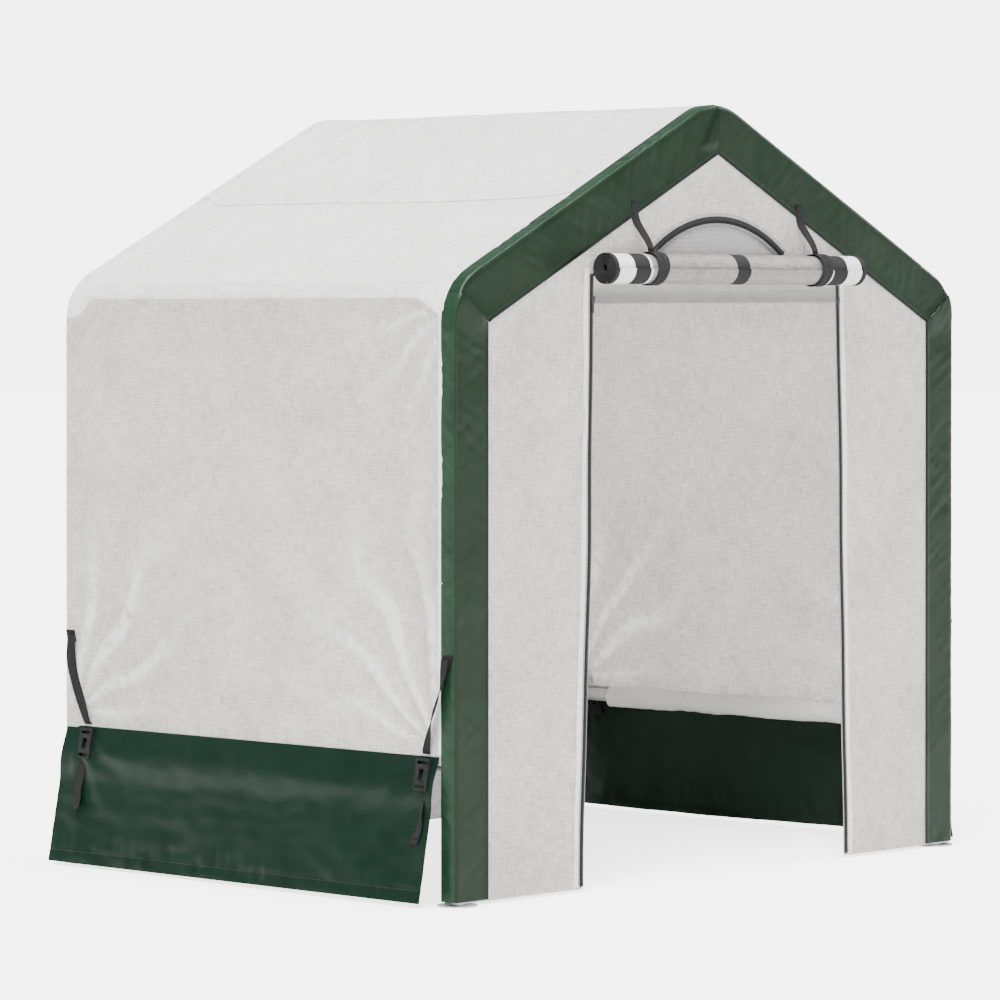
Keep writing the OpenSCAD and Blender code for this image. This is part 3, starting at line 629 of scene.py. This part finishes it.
def door_hem(sgn, a, b):
    z = HEM + a * (DOOR_H - HEM)
    x, y, z, u, v = front_point(sgn * (door_x(z) + 0.013 + 0.022 * b), z)
    return x, y - 0.0010 - 0.0009 * math.sin(math.pi * b), z, u, v


# turned and stitched door edges
for sgn in (-1, 1):
    c.patch(90, 3, lambda a, b: door_hem(sgn, a, b), mat=1)
front_gable = c.make("front_gable", [GABLE_FILM_SHADED, WHITE_FILM], "frame", "film", ["front_panel"])

c = Cloth()


def rear_point(x, z):
    return x, YR - 0.0002 - gable_off(x, z, False), z, x + 1, z


def rear_top(a, x):
    return rear_point(x, EAVE_CZ + a * (outline_z(x) - GABLE_EDGE - EAVE_CZ))


c.patch(120, 90, lambda a, b: rear_point((2 * b - 1) * (HALF_W - GABLE_EDGE),
                                         HEM - 0.004 + a * (EAVE_CZ - HEM + 0.004)))
c.patch(36, 90, lambda a, b: rear_top(a, (2 * b - 1) * (HALF_W - GABLE_EDGE)))
rear_gable = c.make("rear_gable", [GABLE_FILM_SHADED], "frame", "film", ["rear_panel"])


# ---- trims ----
def trim_wrinkle(along, across, seed, amp):
    u, v = along + 0.7 * across, along - 0.7 * across
    w = noise.noise(Vector((u * 9, v * 46, seed))) + 0.8 * noise.noise(Vector((u * 52, v * 10, seed + 3)))
    return 2.2 * amp * w * (0.35 + 0.9 * abs(bump_at(along, 0, seed, 3.3, 8)))


OUT = 0.0015


def trim_point(sx, y_face, into, s_out, inner, b, seed):
    """b from 0 at the inner edge on the gable to 1 at the end of the wrap on the wall."""
    ox, oz, nx, nz = section(s_out)
    ix, iz = inner
    width = math.hypot(ox - ix, oz - iz)
    if b <= FACE:
        t = b / FACE
        x, z = ix + (ox + nx * OUT - ix) * t, iz + (oz + nz * OUT - iz) * t
        d = trim_wrinkle(s_out, t * width, seed, 0.0009) + 0.0026 * bump_at(x * sx, 0, z, 5, seed)
        d = d * smooth(t * 4) * (1 - 0.6 * smooth((t - 0.8) * 5))
        d += 0.0016 * math.exp(-((t * width - 0.006) / 0.004) ** 2)
        # rounded corner where the face turns onto the wall
        back = 0.004 * smooth((t - 0.94) / 0.06) ** 2
        return sx * x, y_face - into * (0.0016 + max(d, -0.0008) - back), z, t * width, s_out
    t = (b - FACE) / (1 - FACE)
    d = 0.0008
    if into > 0:
        d = OUT + trim_wrinkle(s_out, t * WRAP, seed + 9, 0.0018) * smooth(t * 6) * smooth((1 - t) * 8)
        d = max(d + 0.0012 * smooth(t * 3), 0.0012)
    y = y_face + into * (0.0035 + t * (WRAP - 0.0035))
    return sx * (ox + nx * d), y, oz + nz * d, 0.13 + t * WRAP, s_out


def leg_trim(c, sx, y_face, into, seed):
    s_end = S_EAVE + EAVE_R * MITRE_A
    knee = KNEE_Z - SEAM

    def point(a, b):
        s = (HEM - SEAM) + a * (s_end - (HEM - SEAM))
        z = SEAM + s if s < knee else KNEE_Z + (INNER[1] - KNEE_Z) * (s - knee) / (s_end - knee)
        x, y, zz, u, v = trim_point(sx, y_face, into, max(s, HEM - SEAM), (INNER[0], z), b, seed)
        # the gathered fold under the mitre
        q = (s - (s_end - 0.10)) / 0.10
        if q > 0 and b < FACE:
            y -= into * 0.0060 * smooth(q) * smooth(b * 5)
        return x, y, zz, u, v
    c.patch(190, 24, point, pick=lambda a, b: 0 if b < FACE else 1)


def rafter_trim(c, sx, y_face, into, seed):
    s0 = S_EAVE + EAVE_R * MITRE_A
    top = (0.0, APEX - RAFTER_TRIM / math.cos(PITCH))

    def point(a, b):
        s = s0 + a * (S_TOP - s0)
        inner = (INNER[0] + (top[0] - INNER[0]) * a, INNER[1] + (top[1] - INNER[1]) * a)
        x, y, z, u, v = trim_point(sx, y_face, into, s, inner, b, seed)
        if b < FACE:
            y -= into * 0.0022 * math.exp(-(a / 0.012) ** 2)
        # the spare cloth folded over at the peak, and the seam at the mitre; shade is painted shade along the
        # fold, at the mitre seam and at the apex
        shade = 0.9 * math.exp(-(a / 0.004) ** 2)
        if sx < 0 and b < FACE:
            tuck = 0.065 * min(b / 0.25, (FACE - b) / 0.47)
            fold = smooth((a - 1 + tuck) / 0.010)
            y -= into * 0.0050 * fold * smooth(b * 4)
            shade = max(shade, 0.45 * fold, math.exp(-((1 - a) / 0.003) ** 2))
        return x, y, z, u, v, shade
    c.patch(150, 24, point, pick=lambda a, b: 0 if b < FACE else 1)


for side, sx in (("left", -1), ("right", 1)):
    for kind, make in (("leg", leg_trim), ("rafter", rafter_trim)):
        c = Cloth()
        make(c, sx, YF, 1, sx * 2.0 + len(kind))
        c.make(f"front_{side}_{kind}_band", [TRIM, TRIM_WRAP_LIT], "frame", "green_film",
                            [f"front_{side}_{kind}_trim"])
# the rear wraps take the brighter roof copy of the white film: painted light
c = Cloth()
for sx in (-1, 1):
    leg_trim(c, sx, YR, -1, sx * 5.0)
    rafter_trim(c, sx, YR, -1, sx * 6.0)
rear_bands = c.make("rear_bands", [TRIM, ROOF_FILM_LIT], "frame", "green_film", ["rear_trims"])

# ---- skirts ----
for side, sx in (("left", -1), ("right", 1)):
    def skirt_point(a, b):
        """a down from the hinge, b from the front end to the rear end."""
        down = a * SKIRT_L
        y = YM - SKIRT_END + b * (YR - 0.004 - YM + SKIRT_END)
        d = 0.010 * a * math.sin(b * 5.2 + 1.0) + 0.004 * a * bump_at(y, down, sx, 6.0, 3.0)
        d += 0.0016 * bump_at(y, down * 2, sx, 15.0, 6.0) * smooth(a * 6)
        for cu, aim in ((YM - SKIRT_END, 0.9), (YM + SKIRT_END, math.pi - 0.9)):
            d += 0.006 * fan(y, down, cu, 0.0, aim, 0.16, 11, sx + cu)
        d -= 0.0016 * math.exp(-((down - (SKIRT_L - 0.030)) / 0.004) ** 2)
        # puckers along the hem
        near_hem = math.exp(-((a - 0.88 + 0.05 * math.sin(b * 40)) / 0.09) ** 2)
        d += 0.0032 * smooth((b - 0.02) * 8) * near_hem * bump_at(y * 2.2, down * 0.6, sx, 17, 3)
        d = min(d, 0.012) * smooth(a * 4)
        d += 0.010 * math.sin(math.pi * min(a / 0.42, 1.0)) ** 2 * (0.8 + 0.5 * bump_at(y, 0, sx, 3, 2))
        drift = 0.010 * a * b
        return (sx * (HINGE_X + down * math.sin(LEAN) + d * math.cos(LEAN)), y + drift,
                HINGE_Z - down * math.cos(LEAN) + d * math.sin(LEAN) + 0.0016 * (1 - a), SKIRT_L - down, y)
    c = Cloth()
    c.patch(44, 130, skirt_point)
    c.make(f"{side}_ground_skirt", [SKIRT], f"{side}_skirt", "green_film", [f"{side}_skirt"])

# ---- rail pockets ----
c = Cloth()
P_LO, P_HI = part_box("rail_pockets")
for sx in (-1, 1):
    def pocket(a, b):
        y = P_LO.y + b * (P_HI.y - P_LO.y)
        ang = a * 2 * math.pi
        r = 0.0260 + 0.0016 * math.sin(ang * 2 + 9 * bump_at(y, 0, sx, 3))
        r += 0.0022 * bump_at(y * 2, ang / 9, sx, 12, 5)
        r += 0.0018 * math.sin(y * 150 + ang * 2 + 6 * bump_at(y, ang / 5, sx, 4)) * (0.5 + 0.5 * math.sin(ang))
        return sx * LEG_X + r * math.cos(ang), y, RAIL_Z - 0.002 + r * math.sin(ang) * 1.10, y, ang * 0.02
    c.patch(28, 240, pocket)
# painted light: the sleeves take the near-white doubled-film copy though they sit in shade under the walls
pockets = c.make("rail_sleeves", [DOUBLED_FILM_LIT], "frame", "film", ["rail_pockets"])

# ---- corner straps, buckles' tails ----
for side, sx in (("left", -1), ("right", 1)):
    body = f"{side}_skirt"
    c = Cloth()
    tails = Cloth()
    for sy in (-1, 1):
        start = Vector((sx * (HALF_W + 0.003), YM + sy * (0.72 - 0.028), STRAP_TOP))
        stop = Vector((sx * (HALF_W + 0.0045), YM + sy * STRAP_Y, SEAM + 0.006))
        pts, sides = [], []
        for k in range(31):
            t = k / 30
            p = start.lerp(stop, t)
            p.y += sy * (0.012 * math.sin(math.pi * t) + 0.004 * math.sin(t * 7))
            p.x += sx * (0.004 + 0.010 * math.sin(math.pi * t)) * (1 if t < 1 else 0)
            pts.append(p)
            twist = 1.1 * math.sin(math.pi * t) ** 2 * sy
            sides.append(Vector((sx * math.sin(twist), math.cos(twist), 0.25 * sy * math.sin(twist))))
        c.strap(pts, sides, STRAP_W * 0.80, 0.0016)
        # a short stitched patch where the strap is sewn under the trim
        c.strap([start + Vector((sx * 0.002, sy * 0.010, 0.010)), start + Vector((sx * 0.003, 0, -0.02))],
                Vector((0, 1, 0)), STRAP_W, 0.002)
        pts, sides = [], []
        for k in range(29):
            t = k / 28
            down = 0.088 + 0.128 * t
            off = 0.0045 + 0.006 * math.sin(t * 6.5 + sy) ** 2 * t + 0.004 * t
            pts.append(Vector((sx * (HINGE_X + down * math.sin(LEAN) + off),
                               YM + sy * (STRAP_Y + 0.010 * math.sin(3 * t)),
                               HINGE_Z - down * math.cos(LEAN))))
            tw = 0.5 * math.sin(t * 4) * sy
            sides.append(Vector((sx * math.sin(tw), math.cos(tw), 0)))
        tails.strap(pts, sides, STRAP_W * 0.8, 0.0015)
        # the doubled, sewn end of the tail
        tails.strap(pts[-4:], sides[-4:], STRAP_W * 0.8, 0.0040)
    ob = c.make(f"{side}_strap_pair", [WEBBING], None, "webbing", [f"{side}_corner_straps"], weld=False)
    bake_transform(ob)
    tails.make(f"{side}_strap_ends", [WEBBING], body, "webbing", [f"{side}_strap_tails"], weld=False)

# ---- door: bands across its width ----


def band(x):
    """Which cloth a point of the door is, by its distance from the middle."""
    from_edge = ROLL_HALF - abs(x)
    if from_edge < 0.020:
        return 3
    if from_edge < 0.072:
        return 1
    if from_edge < 0.128:
        return 3
    if from_edge < 0.140:
        return 1
    if abs(x) < 0.024:
        return 3
    return 0


SPIRAL_P = 0.0034
R0, R1 = ROLL_R - 0.0012, 0.008
TURNS = (R0 - R1) / SPIRAL_P


def spiral(t, wob=0.0):
    ang = t * TURNS * 2 * math.pi + math.pi / 2
    r = R0 - (R0 - R1) * t + wob
    return ang, r


def roll_point(a, b):
    x = (2 * b - 1) * (ROLL_HALF - 0.001)
    soft = 0.0013 * bump_at(x * 2, a * TURNS * 0.2, 0, 3, 6)
    soft += 0.0010 * math.sin(x * 31 + 5 * bump_at(x, 0, 0, 3)) * math.cos(a * TURNS * 6.28)
    waist = -0.0010 * math.exp(-((abs(x) - TIE_X) / 0.018) ** 2)
    ang, r = spiral(a, (soft + waist) * (1 if a < 0.3 else 0.3))
    return x, ROLL_Y - r * math.sin(ang), ROLL_Z + r * math.cos(ang), x + 1, a * 1.5


c = Cloth()
c.patch(230, 120, roll_point, pick=lambda a, b: band((2 * b - 1) * ROLL_HALF))
roll = c.make("rolled_door", [DOOR_FILM, WHITE_FILM, GREY_TAPE, TAPE], "door_roll", "film", ["door_roll"])
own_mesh(roll)
edges = Cloth()
for sgn in (-1, 1):
    pts = []
    for k in range(221):
        ang, r = spiral(k / 220)
        r -= 0.0002
        pts.append(Vector((sgn * (ROLL_HALF - 0.008), ROLL_Y - r * math.sin(ang), ROLL_Z + r * math.cos(ang))))
    edges.strap(pts, Vector((1, 0, 0)), 0.0145, 0.0022)
edge_tape = edges.make("rolled_edge_tapes", [TAPE], "door_roll", "zip_tape", weld=False)
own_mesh(edge_tape)

# the hanging part: a dense strip at rest, its UV running the whole door's length
WEB_LO, WEB_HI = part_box("door_web")


def unsmooth(w):
    return 0.5 - math.sin(math.asin(1 - 2 * w) / 3)


def web_point(a, b):
    t = unsmooth(a)
    x = (2 * b - 1) * (DOOR_TOP - 0.005 + (WEB_HI.x - DOOR_TOP + 0.004) * a)
    z = WEB_HI.z + (WEB_LO.z - WEB_HI.z) * t
    full = 1.55 * a
    d = 0.0014 * bump_at(x, full, 0, 3.0, 4.0) + 0.0006 * bump_at(x, full, 0, 11.0, 1.0)
    return x, (WEB_LO.y + WEB_HI.y) / 2 - 0.0048 * smooth(a * 20) + d, z, x + 1, full


c = Cloth()
c.patch(72, 110, web_point, pick=lambda a, b: band((2 * b - 1) * ROLL_HALF))
web = c.make("door_curtain", [DOOR_FILM, WHITE_FILM, GREY_TAPE, TAPE], None, "film", ["door_web"])
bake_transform(web)

# ---- ties ----
for side, sx in (("left", -1), ("right", 1)):
    c = Cloth()
    x0 = sx * TIE_X
    pts, sides = [], []
    for k in range(13):
        t = k / 12
        z = TIE_TOP - t * (TIE_TOP - ROLL_Z - ROLL_R - 0.0012)
        ahead = smooth((t - 0.25) / 0.75)
        pts.append(Vector((x0 + 0.006 * t * t, (YF - 0.0030) * (1 - ahead) + ROLL_Y * ahead, z)))
        tw = 0.7 * math.sin(math.pi * t) ** 2 * sx
        sides.append(Vector((math.cos(tw), -abs(math.sin(tw)), 0)))
    c.strap(pts, sides, TIE_W * 0.85, 0.0016)
    for shift, lean in ((0.0, 0.05), (0.034, 0.16)):
        pts, sides = [], []
        for k in range(41):
            ang = k / 40 * 2 * math.pi
            r = ROLL_R + 0.0004 + 0.0004 * math.sin(3 * ang)
            y = ROLL_Y - r * math.cos(ang)
            z = ROLL_Z + r * math.sin(ang)
            pts.append(Vector((x0 + shift * 0.55 + lean * 0.05 * math.sin(ang), y, z)))
            sides.append(Vector((1, 0, -lean * 0.5 * math.cos(ang))))
        c.strap(pts, sides, TIE_W * 0.92, 0.0018)
    ob = c.make(f"{side}_tie_strap", [TIE_WEB], "frame", "webbing", [f"{side}_door_tie"], weld=False)
    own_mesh(ob)

# ---- zips ----
for side, sx in (("left", -1), ("right", 1)):
    c = Cloth()
    n = 110

    def zip_at(t):
        z = HEM + 0.005 + t * (DOOR_H - HEM - 0.020)
        p = front_point(sx * (door_x(z) + 0.001 + ZIP_W / 2), z)
        return Vector((p[0], YF - 0.0012 + edge_wave(z)[1], z))
    pts = [zip_at(k / n) for k in range(n + 1)]
    c.strap([p + Vector((sx * 0.001, 0, 0)) for p in pts], Vector((1, 0, 0)), 0.020, 0.0010, 1)
    c.strap([p + Vector((0, -0.0006, 0)) for p in pts], Vector((1, 0, 0)), 0.0110, 0.0020, 0)
    teeth = 300
    for k in range(teeth):
        p = zip_at((k + 0.5) / teeth)
        c.brick(p + Vector((0.0009 * (1 if k % 2 else -1), -0.0020, 0)), ((1, 0, 0), (0, 1, 0), (0, 0, 1)),
                (0.0052, 0.0016, 0.0030), 2)
    # a small stop box at the foot
    c.brick(zip_at(0.0) + Vector((0, -0.0016, 0.004)), ((1, 0, 0), (0, 1, 0), (0, 0, 1)),
            (0.012, 0.0030, 0.014), 2)
    c.make(f"{side}_zip_chain", [TAPE, GREY_TAPE, TEETH], "frame", "zip_tape", [f"{side}_door_zip"], weld=False)

c = Cloth()
arc = []
for k in range(61):
    a = -VENT_HALF + 2 * VENT_HALF * k / 60
    arc.append((a, Vector((VENT_R * math.sin(a), YF - 0.0012, VENT_CZ + VENT_R * math.cos(a)))))
radial = [Vector((math.sin(a), 0, math.cos(a))) for a, _ in arc]
c.strap([p for _, p in arc], radial, 0.036, 0.0010, 1)
c.strap([p + Vector((0, -0.0007, 0)) for _, p in arc], radial, 0.018, 0.0016, 0)
for k in range(180):
    a = -VENT_HALF + 2 * VENT_HALF * (k + 0.5) / 180
    r = VENT_R + 0.0008 * (1 if k % 2 else -1)
    c.brick((r * math.sin(a), YF - 0.0026, VENT_CZ + r * math.cos(a)),
            ((math.sin(a), 0, math.cos(a)), (0, 1, 0), (math.cos(a), 0, -math.sin(a))),
            (0.0055, 0.0016, 0.0022), 2)
c.make("vent_zip_chain", [TAPE, GREY_TAPE, TEETH], "frame", "zip_tape", ["vent_zip"], weld=False)


# ---- vent net and flap ----
def vent_sheet(name, y, r, z_low, mat, body, node, bow):
    half = math.sqrt(r ** 2 - (z_low - VENT_CZ) ** 2)
    c = Cloth()

    def point(a, b):
        x = (2 * b - 1) * half
        top = VENT_CZ + math.sqrt(max(r ** 2 - x ** 2, 0))
        z = z_low + a * max(top - z_low, 0.0)
        d = bow * math.sin(math.pi * a) * math.cos(math.pi * x / 2 / half) + 0.4 * bow * bump_at(x, 0, z, 14)
        return x, y + d, z, x + 1, z
    c.patch(14, 60, point)
    return c.make(name, [mat], body, "vent_net" if mat is NET else "film", [node])


N_LO, N_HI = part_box("vent_mesh")
F_LO, F_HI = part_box("vent_flap")
# radius and lower edge of each
NET_CUT = (VENT_OPEN + 0.008, VENT_Z - 0.008)
FLAP_CUT = (VENT_OPEN + 0.006, VENT_Z + 0.002)
net = vent_sheet("vent_insect_net", (N_LO.y + N_HI.y) / 2, *NET_CUT, NET, "frame", "vent_mesh", 0.0004)
flap = vent_sheet("vent_cover_flap", (F_LO.y + F_HI.y) / 2, *FLAP_CUT, GABLE_FILM_SHADED, "vent_flap", "vent_flap", 0.0008)

# ---- the metal and moulded pieces keep their CAD shape ----
SLOT_MATS = {"tube_steel": TUBE, "fitting_steel": FITTING, "bolt_steel": BOLT,
             "buckle_plastic": BLACK, "slider_metal": SLIDER}
SUB = {p["node"]: p["material_slot"] for p in frame["record"]["subparts"]}
for node, ob in frame["nodes"].items():
    mat = SLOT_MATS.get(SUB.get(node))
    if mat:
        ob.data.materials.clear()
        ob.data.materials.append(mat)


# ---- camera, floor and light ----
cam = bpy.data.objects.new("camera", bpy.data.cameras.new("camera"))
bpy.context.scene.collection.objects.link(cam)
bpy.context.scene.camera = cam
FOCAL, YAW, TILT = 4.779, math.radians(46.32), math.radians(-0.58)
cam.data.sensor_width = 36.0
cam.data.lens = 36.0 * FOCAL
cam.data.shift_y = -0.1356
cam.data.clip_end = 200
cam.location = (-9.378, -8.854, 1.454)
cam.rotation_euler = (math.pi / 2 + TILT, 0, -YAW)

floor = bpy.data.objects.new("floor", bpy.data.meshes.new("floor"))
floor.data.from_pydata([(-60, -60, 0), (60, -60, 0), (60, 60, 0), (-60, 60, 0)], [], [(0, 1, 2, 3)])
bpy.context.scene.collection.objects.link(floor)
floor_mat, floor_nt, floor_bsdf = new_mat("pale_floor")
floor_bsdf.inputs["Base Color"].default_value = (0.90, 0.90, 0.90, 1)
floor_bsdf.inputs["Roughness"].default_value = 0.9
floor_bsdf.inputs["Emission Color"].default_value = (1, 1, 1, 1)
seen = add(floor_nt, "LightPath")
floor_nt.links.new(calc(floor_nt, "MULTIPLY", seen, 2.6), floor_bsdf.inputs["Emission Strength"])
floor.data.materials.append(floor_mat)

world = bpy.data.worlds.new("studio")
bpy.context.scene.world = world
world.use_nodes = True
world.node_tree.nodes["Background"].inputs[0].default_value = (1.0, 1.0, 1.0, 1)
seen = add(world.node_tree, "LightPath")
world.node_tree.links.new(calc(world.node_tree, "MULTIPLY_ADD", seen, 5.0, 0.55),
                          world.node_tree.nodes["Background"].inputs[1])


def lamp(name, kind, energy, at, aim, size):
    data = bpy.data.lights.new(name, kind)
    data.energy = energy
    if kind == "SUN":
        data.angle = size
    else:
        data.size = size
    ob = bpy.data.objects.new(name, data)
    bpy.context.scene.collection.objects.link(ob)
    ob.location = at
    ob.rotation_euler = (Vector(aim) - Vector(at)).to_track_quat("-Z", "Y").to_euler()
    return ob


lamp("key", "SUN", 5.7, (-3.6, -2.2, 6.4), (0, 0, 0.6), math.radians(22))
lamp("right", "SUN", 2.2, (6.0, -1.5, 5.0), (0, 0, 0.6), math.radians(40))
lamp("top", "SUN", 4.8, (-0.4, -0.3, 8.0), (0, 0, 0.6), math.radians(30))
lamp("fill", "AREA", 70.0, (-0.8, -5.2, 1.2), (0.2, 0, 0.5), 1.6)
